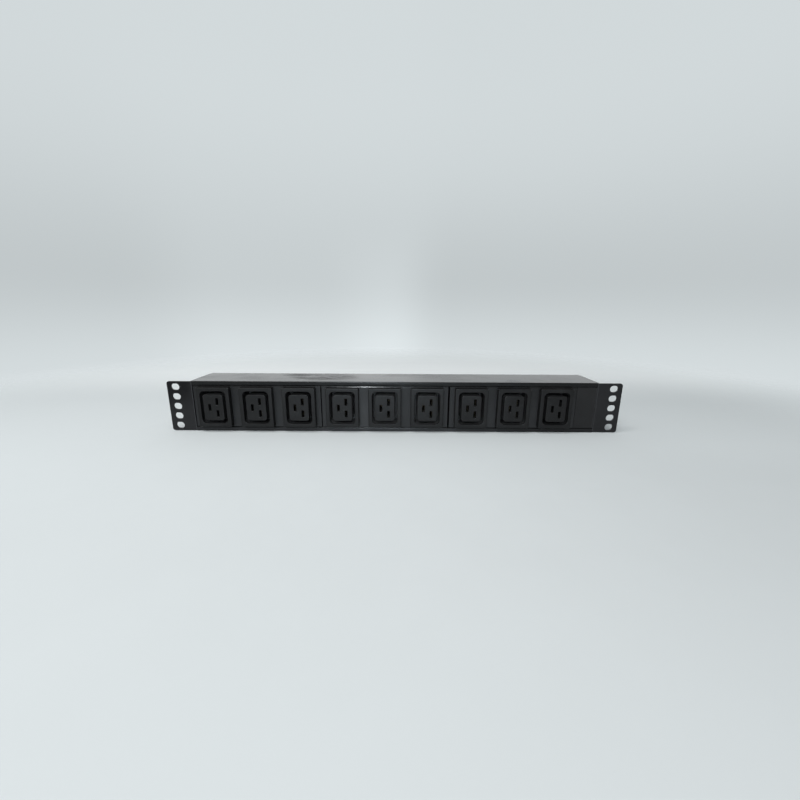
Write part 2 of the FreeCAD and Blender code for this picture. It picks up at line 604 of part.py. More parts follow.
def ring_lug():
    """Flat ring with a tongue and a wire barrel to its left."""
    lug = box(LUG_BARREL_X1 - 1.0, BOND_X, LUG_Y0, LUG_Y1, -TONGUE_HALF_H, TONGUE_HALF_H)
    lug = lug.fuse(bond_rod(LUG_RING_R, LUG_Y0, LUG_Y1))
    lug = lug.fuse(
        cyl_x(BARREL_R, LUG_BARREL_X0, LUG_BARREL_X1, WIRE_RUN_Y, BOND_Z)).removeSplitter()
    return lug.cut([
        bond_rod(BOND_HOLE_R, LUG_Y0 - 1, LUG_Y1 + 1),
        cyl_x(WIRE_BORE_R, LUG_BARREL_X0 - 1, LUG_BARREL_X1 - 2.0, WIRE_RUN_Y, BOND_Z)])


write("chassis_bond_wire", round_wire([
    Vector(left_tabs[0], WIRE_START_Y, EARTH_Z), Vector(left_tabs[0], WIRE_RUN_Y, EARTH_Z),
    Vector(LUG_BARREL_X1 - 2.5, WIRE_RUN_Y, BOND_Z)]))
write("earth_ring_lug", ring_lug())
write("earth_lock_washer", bond_rod(WASHER_R, CASE_BACK_Y, CASE_BACK_Y + WASHER_THICK).cut(
    bond_rod(WASHER_BORE_R, CASE_BACK_Y - 1, CASE_BACK_Y + 2)))
write("chassis_earth_screw", pan_screw(
    Vector(BOND_X, CASE_BACK_Y + WASHER_THICK, BOND_Z), Y_AXIS,
    head_r=4.6, head_h=3.3, shank_r=2.45, length=11.0, tip=0.5))
write("earth_nut", hexagon_y(
    EARTH_NUT_AF, LUG_Y0 - EARTH_NUT_THICK, LUG_Y0, BOND_X, BOND_Z).cut(
        bond_rod(EARTH_NUT_BORE_R, 30, 50)))

# thin sheet just in front of the back wall
write("insulating_sheet", box(-166.0, 128.0, 44.9, 45.4, -17.0, 17.0))

# ---------------------------------------------------------------- cable gland in the back wall
GLAND_BORE_R = 8.5
GLAND_THREAD_R = 12.45
GLAND_FRONT_Y = 37.5
GLAND_AF = 30.0
THREAD_GAP = 0.05
GASKET_R = 16.0
GASKET_Y1 = CASE_BACK_Y + 1.0     # outer face of the gasket
GLAND_HEX_Y1 = GASKET_Y1 + 6.5
COLLAR_Y0 = GASKET_Y1 + 6.0
COLLAR_Y1 = GASKET_Y1 + 16.0
SEAL_SEAT_R = 10.9
SEAL_SEAT_Y = GASKET_Y1 + 7.0
LOCKNUT_THICK = 5.0
NUT_THREAD_R, NUT_ROOT_DEPTH = 12.0, 0.65
NUT_TRAVEL = 3.1          # how far the dome nut can be screwed down
# inside the nut a shoulder pushes the seal; both stand back by the travel until screwed down
SHOULDER_Y = COLLAR_Y1 + NUT_TRAVEL + 0.2
NUT_Y0 = GLAND_HEX_Y1 + NUT_TRAVEL + 0.3
NUT_Y1 = NUT_Y0 + 9.0     # end of the nut's hexagon
# (radius, height) of the dome behind the nut's hexagon
DOME_PROFILE = [(0, 0), (14.4, 0), (14.4, 1.0), (13.9, 3.0), (12.6, 5.0),
                (10.9, 6.2), (9.8, 6.5), (0, 6.5)]


def gland_rod(radius, y0=30, y1=80):
    """Cylinder on the gland's axis; by default it passes right through the gland."""
    return cyl_y(radius, y0, y1, GLAND_X, GLAND_Z)


def gland_hexagon(y0, y1):
    return hexagon_y(GLAND_AF, y0, y1, GLAND_X, GLAND_Z)


def collar():
    """Collar whose thread, 1.5 mm pitch, is made as rings of its section."""
    root = NUT_THREAD_R - NUT_ROOT_DEPTH
    height = COLLAR_Y1 - COLLAR_Y0
    profile = [(0, 0), (root, 0)]
    for ring in range(6):
        h = 0.9 + 1.5 * ring
        profile += [(root, h), (NUT_THREAD_R, h + 0.45), (NUT_THREAD_R, h + 0.65),
                    (root, h + 1.1)]
    profile += [(root, height), (0, height)]
    return turned_y(profile, GLAND_X, COLLAR_Y0, GLAND_Z)


def gland_body():
    body = gland_rod(GLAND_THREAD_R, GLAND_FRONT_Y, GASKET_Y1 + 0.5)
    body = body.makeChamfer(0.7, edges_at(body, y=GLAND_FRONT_Y))
    body = body.fuse([gland_hexagon(GASKET_Y1, GLAND_HEX_Y1), collar()]).removeSplitter()
    return body.cut([gland_rod(GLAND_BORE_R), gland_rod(SEAL_SEAT_R, SEAL_SEAT_Y)])


def gland_dome_nut():
    dome = turned_y(DOME_PROFILE, GLAND_X, NUT_Y1 - 0.5, GLAND_Z)
    nut = gland_hexagon(NUT_Y0, NUT_Y1).fuse(dome).removeSplitter()
    return nut.cut([
        gland_rod(NUT_THREAD_R + THREAD_GAP, NUT_Y0 - 1, SHOULDER_Y),
        gland_rod(GLAND_BORE_R + 0.1, NUT_Y0 - 1, NUT_Y1 + 12)])


write("gland_body", gland_body())
write("gland_gasket", gland_rod(GASKET_R, CASE_BACK_Y, GASKET_Y1).cut(
    gland_rod(GLAND_THREAD_R + THREAD_GAP)))
write("gland_locknut", gland_hexagon(CASE_INSIDE_Y - LOCKNUT_THICK, CASE_INSIDE_Y).cut(
    gland_rod(GLAND_THREAD_R + THREAD_GAP)))
write("gland_seal", gland_rod(
    SEAL_SEAT_R - 0.06, SEAL_SEAT_Y + NUT_TRAVEL + 0.1, SHOULDER_Y - 0.1).cut(
        gland_rod(GLAND_BORE_R)))
write("gland_dome_nut", gland_dome_nut())
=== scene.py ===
import math
from fnmatch import fnmatchcase

import bmesh
import bpy
from mathutils import Matrix, Vector


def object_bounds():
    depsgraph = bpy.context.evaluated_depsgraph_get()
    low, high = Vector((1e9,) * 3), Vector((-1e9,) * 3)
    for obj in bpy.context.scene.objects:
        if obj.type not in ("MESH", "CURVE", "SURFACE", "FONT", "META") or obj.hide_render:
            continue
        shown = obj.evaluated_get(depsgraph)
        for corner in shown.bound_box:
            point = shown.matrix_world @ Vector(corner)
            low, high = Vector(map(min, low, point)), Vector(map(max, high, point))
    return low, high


# An outlet strip: a long extruded case with outlets along its front and an ear at each end.
# Its length lies along X, its front faces -Y and Z is up. All lengths are in metres.

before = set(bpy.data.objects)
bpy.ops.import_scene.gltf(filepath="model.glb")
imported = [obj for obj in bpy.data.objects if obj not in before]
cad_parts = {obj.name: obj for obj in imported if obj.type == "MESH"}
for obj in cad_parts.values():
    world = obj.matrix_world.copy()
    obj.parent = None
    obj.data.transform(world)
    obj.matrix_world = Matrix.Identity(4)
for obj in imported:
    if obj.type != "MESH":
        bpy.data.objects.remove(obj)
cad_low, cad_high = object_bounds()

OUTLET_GROUPS = (-0.1468, -0.0108, 0.1260)      # x of the middle of each group of outlets
OUTLET_PITCH = 0.045
FLOOR_Z = cad_low.z
FLOOR_RADIUS = 1.4
BLACK = (0.0, 0.0, 0.0)

scene = bpy.context.scene
scene.view_settings.view_transform = "Standard"
scene.view_settings.look = "None"


# ---------------------------------------------------------------- node helpers
def operator(kind, swapped=False):
    """A method that adds a Math node of one kind."""
    def method(self, other=0.0):
        pair = (other, self) if swapped else (self, other)
        return self.tree.calc(kind, *pair)
    return method


class Value:
    """A number inside a node tree; arithmetic on it adds Math nodes."""

    def __init__(self, tree, socket):
        self.tree = tree
        self.socket = socket

    __add__ = operator("ADD")
    __radd__ = operator("ADD", swapped=True)
    __sub__ = operator("SUBTRACT")
    __rsub__ = operator("SUBTRACT", swapped=True)
    __mul__ = operator("MULTIPLY")
    __truediv__ = operator("DIVIDE")
    __pow__ = operator("POWER")
    __gt__ = operator("GREATER_THAN")
    __abs__ = operator("ABSOLUTE")
    larger = operator("MAXIMUM")
    smaller = operator("MINIMUM")
    pingpong = operator("PINGPONG")
    sine = operator("SINE")

    def ramp(self, start, end, out=(0.0, 1.0)):
        """Goes smoothly from out[0] at start to out[1] at end."""
        node = self.tree.add("ShaderNodeMapRange", interpolation_type="SMOOTHSTEP")
        self.tree.link(self, node.inputs["Value"])
        names = ("From Min", "From Max", "To Min", "To Max")
        for name, value in zip(names, (start, end, *out)):
            node.inputs[name].default_value = value
        return Value(self.tree, node.outputs["Result"])

    def gate(self, low, high, soft):
        """1 between low and high, 0 outside, over a soft border."""
        return self.ramp(low - soft, low) * self.ramp(high + soft, high)


class Tree:
    """Fills an emptied node tree."""

    def __init__(self, node_tree):
        self.nodes = node_tree.nodes
        self.links = node_tree.links
        self.nodes.clear()

    def add(self, kind, **props):
        node = self.nodes.new(kind)
        for key, value in props.items():
            setattr(node, key, value)
        return node

    def link(self, source, target):
        self.links.new(source.socket if isinstance(source, Value) else source, target)

    def feed(self, target, value):
        """Links a socket or a Value; sets anything else as a constant."""
        if isinstance(value, (Value, bpy.types.NodeSocket)):
            self.link(value, target)
        else:
            target.default_value = value

    def calc(self, operation, a, b):
        node = self.add("ShaderNodeMath", operation=operation)
        self.feed(node.inputs[0], a)
        self.feed(node.inputs[1], b)
        return Value(self, node.outputs[0])

    def split(self, vector):
        node = self.add("ShaderNodeSeparateXYZ")
        self.link(vector, node.inputs[0])
        return [Value(self, node.outputs[axis]) for axis in "XYZ"]

    def mix_shaders(self, factor, first, second):
        node = self.add("ShaderNodeMixShader")
        for target, source in zip(node.inputs, (factor, first, second)):
            self.link(source, target)
        return node.outputs[0]


class Material(Tree):
    """One procedural material. Patterns use object coordinates, so they have a real size."""

    INPUTS = {
        "base": "Base Color", "rough": "Roughness", "metal": "Metallic", "ior": "IOR",
        "spec": "Specular IOR Level", "normal": "Normal",
    }

    def __init__(self, name):
        self.mat = bpy.data.materials.new(name)
        self.mat.use_nodes = True
        super().__init__(self.mat.node_tree)
        self.out = self.add("ShaderNodeOutputMaterial")
        self.bsdf = self.add("ShaderNodeBsdfPrincipled")
        self.link(self.bsdf.outputs["BSDF"], self.out.inputs["Surface"])
        self.coord = self.add("ShaderNodeTexCoord").outputs["Object"]

    def set(self, **values):
        for key, value in values.items():
            self.feed(self.bsdf.inputs[self.INPUTS[key]], value)

    def mapped(self, scale=(1, 1, 1), shift=(0, 0, 0), turn=(0, 0, 0)):
        node = self.add("ShaderNodeMapping")
        self.link(self.coord, node.inputs["Vector"])
        node.inputs["Scale"].default_value = scale
        node.inputs["Location"].default_value = shift
        node.inputs["Rotation"].default_value = turn
        return node.outputs["Vector"]

    def noise(self, scale, detail, rough, at=None, distort=0.0):
        node = self.add("ShaderNodeTexNoise")
        self.link(at or self.coord, node.inputs["Vector"])
        node.inputs["Scale"].default_value = scale
        node.inputs["Detail"].default_value = detail
        node.inputs["Roughness"].default_value = rough
        node.inputs["Distortion"].default_value = distort
        return Value(self, node.outputs["Fac"])

    def cells(self, scale, at):
        node = self.add("ShaderNodeTexVoronoi", feature="F1")
        self.link(at, node.inputs["Vector"])
        node.inputs["Scale"].default_value = scale
        return Value(self, node.outputs["Distance"])

    def mix(self, factor, a, b):
        """Colour a where factor is 0, b where it is 1."""
        node = self.add("ShaderNodeMix", data_type="RGBA")
        self.feed(node.inputs["Factor"], factor)
        for name, colour in (("A", a), ("B", b)):
            self.feed(node.inputs[name], (*colour, 1.0) if isinstance(colour, tuple) else colour)
        return node.outputs["Result"]

    def bump(self, height, depth, strength, normal=None):
        node = self.add("ShaderNodeBump")
        node.inputs["Distance"].default_value = depth
        node.inputs["Strength"].default_value = strength
        self.link(height, node.inputs["Height"])
        if normal is not None:
            self.link(normal, node.inputs["Normal"])
        return node.outputs["Normal"]

    def eased(self, radius):
        """Edges shade as if rounded by this radius."""
        node = self.add("ShaderNodeBevel", samples=4)
        node.inputs["Radius"].default_value = radius
        return node.outputs["Normal"]

    def vector_math(self, operation, *vectors, scale=None):
        node = self.add("ShaderNodeVectorMath", operation=operation)
        for target, vector in zip(node.inputs, vectors):
            self.feed(target, vector)
        if scale is not None:
            self.link(scale, node.inputs["Scale"])
        return node.outputs

    def tilt(self, normal, factor, towards):
        """Turns the shading normal towards a fixed direction where factor is 1."""
        kept = self.vector_math("SCALE", normal, scale=1.0 - factor)[0]
        added = self.vector_math("SCALE", towards, scale=factor)[0]
        total = self.vector_math("ADD", kept, added)[0]
        return self.vector_math("NORMALIZE", total)[0]

    def position(self):
        return self.split(self.coord)

    def spot(self, centre, half, soft):
        """A soft-edged ellipsoid mask, 1 inside and 0 outside."""
        squares = []
        for value, middle, reach in zip(self.position(), centre, half):
            offset = (value - middle) / reach
            squares.append(offset * offset)
        total = squares[0] + squares[1] + squares[2]
        return total.ramp(1.0 + soft, 1.0 - soft)

    def edge_mask(self, radius):
        """1 on convex and concave edges, 0 on flat areas."""
        rounded = self.eased(radius)
        flat = self.add("ShaderNodeNewGeometry").outputs["Normal"]
        likeness = self.vector_math("DOT_PRODUCT", rounded, flat)["Value"]
        return Value(self, likeness).ramp(start=0.995, end=0.86)


# ---------------------------------------------------------------- materials
def case_finish():
    """Black anodised extrusion: glossy, with die lines along its length, marks and smudges."""
    t = Material("case_black_anodised")
    die = t.noise(scale=1.0, detail=2.0, rough=0.6, at=t.mapped(scale=(6.0, 2600.0, 2600.0)))
    broad = t.noise(scale=1.0, detail=2.0, rough=0.5, at=t.mapped(scale=(3.0, 260.0, 260.0)))
    smears = t.noise(scale=26.0, detail=5.0, rough=0.62, distort=0.8,
                     at=t.mapped(scale=(0.55, 1.0, 1.0), turn=(0, 0, 0.35)))
    fine = t.noise(scale=420.0, detail=4.0, rough=0.7)

    # dull scuffs on the top face, left of the middle
    patch_a = t.spot(centre=(-0.079, 0.025, 0.0275), half=(0.034, 0.018, 0.004), soft=0.6)
    patch_b = t.spot(centre=(-0.108, 0.034, 0.0275), half=(0.018, 0.008, 0.004), soft=0.6)
    patch = patch_a.larger(patch_b)
    streaks = t.noise(scale=95.0, detail=6.0, rough=0.68, distort=1.6,
                      at=t.mapped(scale=(0.42, 1.6, 1.0), turn=(0, 0, -0.25)))
    scuff = patch * streaks.ramp(start=0.40, end=0.64)

    # roughness: a polished ground, raised by wiping, die lines and scuffs
    rough = 0.205 + smears.ramp(start=0.46, end=0.66) * 0.055
    rough = rough + die.ramp(start=0.35, end=0.75) * 0.03
    rough = rough + scuff * 0.22

    # near-black ground, darker scuffs, worn grey edges
    wear = t.noise(scale=900.0, detail=3.0, rough=0.6)
    edge = t.edge_mask(radius=0.0005) * wear.ramp(start=0.52, end=0.72)
    base = t.mix(fine.ramp(start=0.3, end=0.7), (0.0024, 0.0025, 0.0028), (0.0040, 0.0041, 0.0046))
    base = t.mix(scuff * 0.75, base, (0.0016, 0.0018, 0.0017))
    base = t.mix(edge * 0.22, base, (0.06, 0.062, 0.066))

    # table dust and a painted reflection on the face of the lower lip, strongest at mid-length
    # where the window reflects
    x, y, z = t.position()
    lip = z.ramp(start=-0.0233, end=-0.0243) * y.ramp(start=-0.0010, end=-0.0016)
    lip_dust_and_sheen = 0.45 + x.gate(low=-0.055, high=0.040, soft=0.060) * 0.55
    lip_dust_and_sheen = lip_dust_and_sheen * x.ramp(start=0.16, end=0.09, out=(0.35, 1.0))
    cloud = t.noise(scale=60.0, detail=4.0, rough=0.6, at=t.mapped(scale=(0.25, 1.0, 1.0)))
    lip_dust_and_sheen = lip_dust_and_sheen * cloud.ramp(start=0.25, end=0.75, out=(0.8, 1.15))
    base = t.mix(lip * lip_dust_and_sheen, base, (0.034, 0.036, 0.040))

    t.set(base=base, rough=rough, ior=1.5, spec=0.27 - scuff * 0.15)
    height = die * 0.5 + broad * 0.5
    t.set(normal=t.bump(height, depth=0.000012, strength=0.6, normal=t.eased(0.00035)))
    return t.mat


def powder_coat():
    """Satin black powder coat on folded steel: fine orange peel, bright chips on the edges."""
    t = Material("ear_powder_coat")
    peel = t.noise(scale=820.0, detail=3.0, rough=0.55)
    wave = t.noise(scale=150.0, detail=2.0, rough=0.5)
    tone = t.noise(scale=60.0, detail=4.0, rough=0.6)
    wear = t.noise(scale=760.0, detail=5.0, rough=0.75)
    chips = t.edge_mask(radius=0.0007) * wear.ramp(start=0.585, end=0.66)
    base = t.mix(tone.ramp(start=0.3, end=0.7), (0.0058, 0.0056, 0.0064), (0.0088, 0.0086, 0.0098))
    base = t.mix(chips * 0.55, base, (0.13, 0.13, 0.126))

    # the fold beside the case is grey, partly dust and partly painted light that lifts the seam's
    # shade, more on the left; the upper half of the left ear is duller
    x, y, z = t.position()
    fold = abs(x).gate(low=0.2149, high=0.2155, soft=0.0004)
    fold_dust_and_light = x.ramp(start=-0.10, end=0.10, out=(0.55, 0.30))
    base = t.mix(fold * fold_dust_and_light, base, (0.052, 0.054, 0.058))
    dull = x.ramp(start=-0.210, end=-0.222) * z.ramp(start=-0.012, end=0.020)

    t.set(base=base, ior=1.5, spec=0.26 - dull * 0.17)
    t.set(rough=0.36 + peel.ramp(start=0.3, end=0.7) * 0.10)
    height = peel * 0.5 + wave * 0.5
    t.set(normal=t.bump(height, depth=0.00010, strength=0.6, normal=t.eased(0.0004)))
    return t.mat


def recess_dust_and_sheen(t, base, film):
    """Grey inside the outlet recesses and on the sunken faces between them: dust, with painted
    light lifting their shade and a painted reflection of the window.
    """
    x, y, z = t.position()
    group = OUTLET_GROUPS[0]      # becomes the middle of the nearest group
    for left, right in zip(OUTLET_GROUPS, OUTLET_GROUPS[1:]):
        group = group + (x > (left + right) / 2) * (right - left)

    # distance along x from the middle of the nearest outlet
    offset = abs((x - group).pingpong(OUTLET_PITCH / 2))
    offset = offset.smaller(abs(abs(x - group) - OUTLET_PITCH))

    # grey inside the recesses: dust, and painted light that lifts their shade; lighter from the
    # middle to the right outlets as a painted reflection of the window
    within = offset.ramp(start=0.0142, end=0.0136) * abs(z).ramp(start=0.0184, end=0.0178)
    inside = within * y.ramp(start=-0.0068, end=-0.0015)
    window_sheen = (x.gate(low=-0.075, high=0.055, soft=0.02)
               + x.gate(low=0.065, high=0.150, soft=0.008) * 0.55)
    dust_and_sheen = t.mix(window_sheen, (0.050, 0.052, 0.055), (0.118, 0.122, 0.128))
    base = t.mix(inside * film.ramp(start=0.0, end=1.0, out=(0.75, 1.0)), base, dust_and_sheen)

    # the sunken faces are lighter towards their lower end, and more so near x -0.042 to -0.026 as
    # a painted reflection of the window
    sunk = y.ramp(start=-0.0022, end=-0.0015) * offset.ramp(start=0.0166, end=0.0172)
    lower_lift_and_sheen = (z.ramp(start=0.023, end=-0.012, out=(0.35, 1.0))
             * (0.45 + x.gate(low=-0.042, high=-0.026, soft=0.016) * 0.65))
    return t.mix(sunk * lower_lift_and_sheen, base, (0.036, 0.038, 0.041))


def moulded(name, dark, light, rough, grain=2300.0, depth=0.00003, dust=0.35, ease=0.0003,
            seed=0.0, spec=0.20, recess=False, polish=0.0, crest=None):
    """Moulded thermoplastic: spark-eroded grain, slow tone changes and a little held dust, with
    painted light in the recesses and the joint beside the ears.

    polish smooths the edges; crest rolls back and smooths a rim between two heights.
    """
    t = Material(name)
    shifted = t.mapped(shift=(seed, seed * 0.7, seed * 1.3))
    grain_a = t.noise(scale=grain, detail=2.0, rough=0.6, at=shifted)
    grain_b = t.cells(scale=grain * 0.45, at=shifted)
    flow = t.noise(scale=34.0, detail=3.0, rough=0.55, distort=0.6,
                   at=t.mapped(scale=(0.6, 1.0, 1.4), shift=(seed * 2, 0, seed)))
    specks = t.noise(scale=1500.0, detail=2.0, rough=0.5, at=t.mapped(shift=(0.3, seed, 0.1)))
    specks = specks.ramp(start=0.685, end=0.74)
    film = t.noise(scale=48.0, detail=5.0, rough=0.65, at=shifted).ramp(start=0.42, end=0.75)

    x, y, z = t.position()
    base = t.mix(flow.ramp(start=0.3, end=0.7), dark, light)
    base = t.mix(film * (0.10 * dust), base, (0.08, 0.083, 0.086))
    base = t.mix(specks * (0.45 * dust), base, (0.15, 0.15, 0.145))
    if recess:
        base = recess_dust_and_sheen(t, base, film)
    # grey in the joint beside the ears: dust, and painted light that lifts the joint's shade
    base = t.mix(abs(x).ramp(start=0.2141, end=0.2145) * 0.8, base, (0.050, 0.052, 0.056))

    roughness = (rough - 0.04) + grain_a.ramp(start=0.3, end=0.7) * 0.08
    if polish > 0:
        roughness = roughness - t.edge_mask(radius=0.0005) * polish
    height = grain_a * 0.6 + grain_b * 0.4
    normal = t.bump(height, depth=depth, strength=0.5, normal=t.eased(ease))
    roughness = roughness + film * 0.05
    if crest:
        rim = (z.gate(crest["low"], crest["high"], soft=0.0001)
               * y.gate(low=-0.0016, high=-0.0004, soft=0.0001))
        lean = crest["lean"]
        normal = t.tilt(normal, rim, towards=(0.0, -math.cos(lean), math.sin(lean)))
        roughness = roughness * (1.0 - rim) + rim * crest["rough"]
    t.set(base=base, rough=roughness, ior=1.5, spec=spec, normal=normal)
    return t.mat


def metal(name, tint, dark, rough, scratch, scale=1.0, lines=(1.0, 1.0, 1.0)):
    """Bare or plated metal with drawn or tumbled scratches and slight tarnish."""
    t = Material(name)
    stretched = t.mapped(scale=[line * 900.0 * scale for line in lines])
    fine = t.noise(scale=1.0, detail=3.0, rough=0.6, at=stretched)
    tarnish = t.noise(scale=220.0 * scale, detail=4.0, rough=0.6)
    base = t.mix(tarnish.ramp(start=0.35, end=0.7), tint, dark)
    scratched = rough + fine.ramp(start=0.3, end=0.7) * (0.14 * scratch)
    t.set(base=base, metal=1.0, rough=scratched + tarnish.ramp(start=0.4, end=0.8) * 0.08)
    t.set(normal=t.bump(fine, depth=0.00001, strength=0.4 * scratch, normal=t.eased(0.0002)))
    return t.mat


def rubber(name):
    """Matt black rubber with a pale bloom."""
    t = Material(name)
    grain = t.noise(scale=1700.0, detail=3.0, rough=0.6)
    bloom = t.noise(scale=160.0, detail=4.0, rough=0.6).ramp(start=0.35, end=0.75)
    t.set(base=t.mix(bloom, (0.012, 0.012, 0.012), (0.030, 0.030, 0.031)), ior=1.48)
    normal = t.bump(grain, depth=0.00004, strength=0.6, normal=t.eased(0.0003))
    t.set(rough=0.62 + grain * 0.15, normal=normal)
    return t.mat


def insulation(name, colour, darker, stripe=None):
    """Extruded wire insulation with a soft gloss, and a stripe where there is one."""
    t = Material(name)
    mottle = t.noise(scale=700.0, detail=3.0, rough=0.5)
    base = t.mix(mottle.ramp(start=0.35, end=0.7), colour, darker)
    if stripe:
        x, y, z = t.position()
        phase = x * 1400.0 + z * 1900.0      # radians per metre along x and z
        base = t.mix(phase.sine().ramp(start=0.25, end=0.35), base, stripe)
    t.set(base=base, rough=0.36 + mottle * 0.1, ior=1.52)
    t.set(normal=t.bump(mottle, depth=0.00003, strength=0.4))
    return t.mat


def film_sheet(name):
    """Pale insulating film."""
    t = Material(name)
    mottle = t.noise(scale=500.0, detail=5.0, rough=0.7)
    base = t.mix(mottle.ramp(start=0.3, end=0.7), (0.52, 0.50, 0.42), (0.60, 0.58, 0.50))
    t.set(base=base, rough=0.5, normal=t.bump(mottle, depth=0.00002, strength=0.4))
    return t.mat


MATERIALS = {
    "case": case_finish(),
    "ear": powder_coat(),
    # crest: the upper rim of the face plate; heights in metres, lean in radians
    "frame": moulded("outlet_moulding", dark=(0.0046, 0.0046, 0.0049),
                     light=(0.0070, 0.0070, 0.0073), rough=0.38, recess=True, polish=0.12,
                     crest=dict(low=0.02150, high=0.02212, lean=0.28, rough=0.14)),
    "core": moulded("outlet_core", dark=(0.0050, 0.0050, 0.0053), light=(0.0074, 0.0074, 0.0078),
                    rough=0.36, grain=2600.0, seed=0.41, recess=True, polish=0.10),
    "blank": moulded("blank_moulding", dark=(0.0098, 0.0098, 0.0103),
                     light=(0.0125, 0.0125, 0.0131), rough=0.41, grain=2000.0, seed=0.83),
    "cover": moulded("cover_moulding", dark=(0.012, 0.012, 0.012), light=(0.018, 0.018, 0.018),
                     rough=0.5, seed=1.7, spec=0.4),
    "nylon": moulded("gland_nylon", dark=(0.008, 0.008, 0.009), light=(0.013, 0.013, 0.014),
                     rough=0.34, grain=1500.0, depth=0.00002, seed=2.2, ease=0.0004, spec=0.45),
    "block": moulded("terminal_moulding", dark=(0.62, 0.61, 0.56), light=(0.70, 0.69, 0.64),
                     rough=0.42, dust=0.1, seed=3.0, spec=0.5),
    "oxide": metal("black_oxide_screw", tint=(0.050, 0.050, 0.053), dark=(0.022, 0.022, 0.024),
                   rough=0.30, scratch=0.8, scale=2.0),
    "zinc": metal("zinc_screw", tint=(0.64, 0.65, 0.67), dark=(0.45, 0.46, 0.48),
                  rough=0.24, scratch=0.8, scale=2.0),
    # brass strips darkened almost to black: tarnish, and painted shade of the deep slots they sit
    # in
    "brass": metal("brass_strip", tint=(0.055, 0.044, 0.028), dark=(0.030, 0.025, 0.017),
                   rough=0.42, scratch=0.6, lines=(0.1, 1.0, 1.0)),
    "tin": metal("tinned_terminal", tint=(0.72, 0.72, 0.70), dark=(0.55, 0.55, 0.54),
                 rough=0.26, scratch=0.6),
    "rubber": rubber("gland_rubber"),
    "brown": insulation("wire_brown", (0.105, 0.040, 0.018), (0.075, 0.028, 0.012)),
    "blue": insulation("wire_blue", (0.018, 0.085, 0.36), (0.012, 0.060, 0.27)),
    "green": insulation("wire_green_yellow", (0.035, 0.22, 0.045), (0.025, 0.17, 0.035),
                        stripe=(0.62, 0.50, 0.02)),
    "sheet": film_sheet("insulating_film"),
}

# piece name pattern, material; the first match counts
FINISHES = (
    ("extruded_case", "case"), ("*ear_bracket", "ear"),
    ("outlet_frame*", "frame"), ("outlet_core*", "core"), ("blank_plate", "blank"),
    ("rear_cover_screws", "zinc"), ("rear_cover_*", "cover"),
    ("gland_body", "nylon"), ("gland_dome_nut", "nylon"), ("gland_locknut", "nylon"),
    ("gland_seal", "rubber"), ("gland_gasket", "rubber"),
    ("terminal_block", "block"), ("end_cap_screws", "oxide"),
    ("*_strip_*", "brass"), ("terminal_clamps", "brass"),
    ("push_on_terminals", "tin"), ("earth_ring_lug", "tin"),
    ("insulating_sheet", "sheet"), ("line_*", "brown"), ("neutral_*", "blue"),
    ("earth_link*", "green"), ("earth_supply*", "green"), ("chassis_bond_wire", "green"),
    ("*", "zinc"),
)

for name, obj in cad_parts.items():
    finish = next(finish for pattern, finish in FINISHES if fnmatchcase(name, pattern))
    obj.data.materials.clear()
    obj.data.materials.append(MATERIALS[finish])
    for polygon in obj.data.polygons:
        polygon.material_index = 0


# ---------------------------------------------------------------- floor
def floor_finish():
    """A pale, faintly cool table top with a few old marks and painted light and shade, fading out
    far from the object.
    """
    t = Material("pale_floor")
    broad = t.noise(scale=2.2, detail=3.0, rough=0.5)
    tone = t.noise(scale=24.0, detail=4.0, rough=0.6)
    marks = t.noise(scale=60.0, detail=6.0, rough=0.75, distort=1.2,
                    at=t.mapped(scale=(1.0, 0.35, 1.0), turn=(0, 0, 0.6)))
    marks = marks.ramp(start=0.66, end=0.74)
    x, y, z = t.position()
    radius = (x * x + y * y) ** 0.5
    close = radius.ramp(start=0.20, end=0.50, out=(1.0, 0.0))      # the grain is lost far off

    base = t.mix(broad.ramp(start=0.3, end=0.7) * close,
                 (0.648, 0.692, 0.706), (0.670, 0.712, 0.726))
    base = t.mix(tone.ramp(start=0.35, end=0.65) * 0.22 * close, base, (0.636, 0.678, 0.690))
    base = t.mix(marks * 0.08 * close, base, (0.50, 0.51, 0.51))

    # painted light and shade: darker in front, lighter behind, darker to the left, far in front
    # and to the right
    base = t.mix(y.ramp(start=-0.08, end=-0.24, out=(0.0, 0.05)), base, BLACK)
    base = t.mix(y.ramp(start=0.12, end=0.40, out=(0.0, 0.95)), base, (0.91, 0.95, 0.96))
    base = t.mix(x.ramp(start=-0.32, end=-0.75, out=(0.0, 0.03)), base, BLACK)
    base = t.mix(y.ramp(start=-0.34, end=-0.75, out=(0.0, 0.36)), base, BLACK)
    right = x.ramp(start=-0.05, end=0.32, out=(0.0, 0.11))
    depth = (y.ramp(start=0.10, end=0.42, out=(1.0, 0.2))
             * y.ramp(start=-0.12, end=-0.03, out=(1.0, 0.45)))
    base = t.mix(right * depth, base, BLACK)

    t.set(base=base, rough=0.72 + tone * 0.08, ior=1.4, spec=0.12)
    grain = t.noise(scale=300.0, detail=4.0, rough=0.6) * close
    t.set(normal=t.bump(grain, depth=0.00008, strength=0.12))
    clear = t.add("ShaderNodeBsdfTransparent").outputs[0]
    faded = t.mix_shaders(radius.ramp(start=0.42, end=0.86), t.bsdf.outputs["BSDF"], clear)
    t.link(faded, t.out.inputs["Surface"])
    return t.mat


def make_floor():
    bm = bmesh.new()
    bmesh.ops.create_circle(bm, cap_ends=True, segments=96, radius=FLOOR_RADIUS)
    mesh = bpy.data.meshes.new("floor")
    bm.to_mesh(mesh)
    bm.free()
    floor = bpy.data.objects.new("floor", mesh)
    floor.location = (0, 0, FLOOR_Z)
    scene.collection.objects.link(floor)
    mesh.materials.append(floor_finish())


make_floor()


